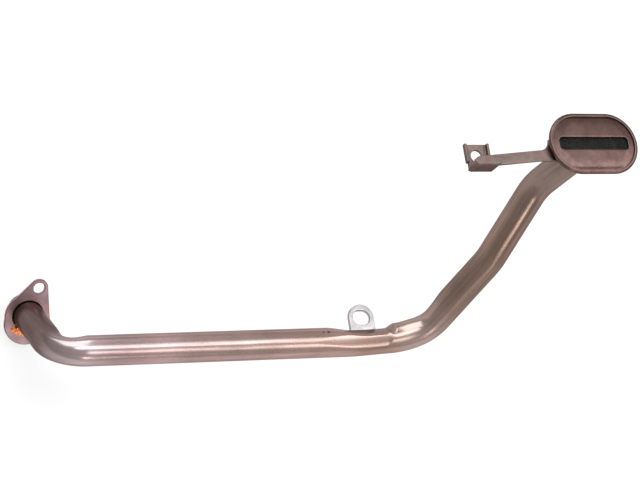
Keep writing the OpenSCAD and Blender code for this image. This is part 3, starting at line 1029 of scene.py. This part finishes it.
def lamp_dir(angle, lean):
    """Direction with a share of lean along +X, at an angle from +Y towards +Z around the run."""
    return lean * Vector((1, 0, 0)) + math.sqrt(1 - lean * lean) * across_run(angle)


def pipe_tints_and_shade():
    """Colours along the pipe, by distance: dark up to the first bend, and darker on the legs, both
    painted shade for the darker surroundings that these parts reflect.
    """
    places = (
        # Painted shade: the stub, dark up to the first bend.
        (0.054, (0.18, 0.128, 0.122)),
        (0.063, (0.38, 0.300, 0.300)),
        (0.075, (0.48, 0.370, 0.375)),
        (0.105, (0.45, 0.315, 0.310)),
        (0.200, (0.47, 0.330, 0.300)),
        (0.305, (0.43, 0.285, 0.240)),
        (0.330, (0.45, 0.330, 0.295)),
        (0.345, (0.44, 0.325, 0.290)),
        # Painted shade: the legs, darker from here on.
        (0.375, (0.26, 0.182, 0.150)),
        (0.450, (0.26, 0.175, 0.140)),
        (0.500, (0.26, 0.190, 0.165)),
    )
    return [(s / PIPE_LEN, colour) for s, colour in places]


def pipe_dullness():
    """Share of the full roughness along the pipe, by distance, which is dullest on the lower leg."""
    places = ((0.350, 0.57), (0.372, 1.0), (0.412, 1.0), (0.440, 0.57))
    return [(s / PIPE_LEN, (share,) * 3) for s, share in places]


def pit_marks():
    """Places and radii of the pits on the run."""
    run_start = HEADINGS[0] * LEG_LENGTHS[0] + BEND_RADII[0] * (HEADINGS[0] + HEADINGS[1])
    start = run_start + TUBE_R * across_run(PIT_TURN)
    return [(start + Vector((x, 0, 0)), radius) for x, radius in PITS]


def build():
    """All pieces with their finishes."""
    flange = sheet_steel("flange_steel", colour=(0.44, 0.302, 0.314), rough=0.42)
    # The flange's rounded edges take a darker copy of its steel: painted shade for the dark outlines
    # along them.
    flange_edge_painted_shade = sheet_steel("flange_edge_painted_shade", colour=(0.17, 0.105, 0.105), rough=0.45)
    head = sheet_steel("head_steel", colour=(0.135, 0.080, 0.071), rough=0.28)
    rim = sheet_steel("rim_steel", colour=(0.155, 0.115, 0.102), rough=0.35)
    spots = [(head_centre() + Vector(STRUT_SPOT), STRUT_SPOT_R)]
    strut = sheet_steel("strut_steel", colour=(0.178, 0.127, 0.113), rough=0.42, marks=spots)
    tab = sheet_steel("tab_steel", colour=(0.45, 0.428, 0.432), rough=0.35)
    # The tab's rounded edges take a darker copy of its steel: painted shade for the dark outlines along
    # them.
    tab_edge_painted_shade = sheet_steel("tab_edge_painted_shade", colour=(0.20, 0.185, 0.185), rough=0.4)
    wire = sheet_steel("wire_steel", colour=(0.05, 0.055, 0.05), rough=0.4)
    build_pipe(pipe_steel("pipe_steel", pipe_tints_and_shade(), pipe_dullness(), PIPE_ROUGH, pit_marks()))
    soften("mounting_flange", "flange_plate", FLANGE_ROUND, "flange_steel", flange, flange_edge_painted_shade)
    build_braze(braze_copper("braze_copper", colour=(0.92, 0.26, 0.09), rough=0.25))
    soften("stud_tab", "tab_plate", TAB_ROUND, "tab_steel", tab, tab_edge_painted_shade)
    build_head_shell(head, rim)
    build_inlet_plate(head)
    build_gauze(wire)
    soften("strut_bracket", "strut_sheet", STRUT_ROUND, "strut_steel", strut)


def light_stage():
    """Lamps, surroundings, floor and camera."""
    low, high = box_before
    centre = (low + high) / 2
    lamps = (
        Lamp("strip_overhead", lamp_dir(85, 0.30), (2.6, 0.70), 2.8, (0.88, 0.97, 1.0)),
        Lamp("soft_side", lamp_dir(130, 0.50), (1.6, 0.46), 2.5, (0.97, 0.97, 0.94)),
        Lamp("soft_back", (-0.22, 0.70, 0.68), (1.3, 1.6), 2.6, (0.95, 0.98, 1.0)),
        Lamp("soft_front", (0.044, -0.953, 0.298), (0.5, 0.2), 5.0, (1.0, 0.95, 0.9)),
    )
    for lamp in lamps:
        add_lamp(lamp, centre)
    add_world()
    add_floor()
    add_camera()
    bpy.context.scene.view_settings.view_transform = "Standard"


build()
light_stage()
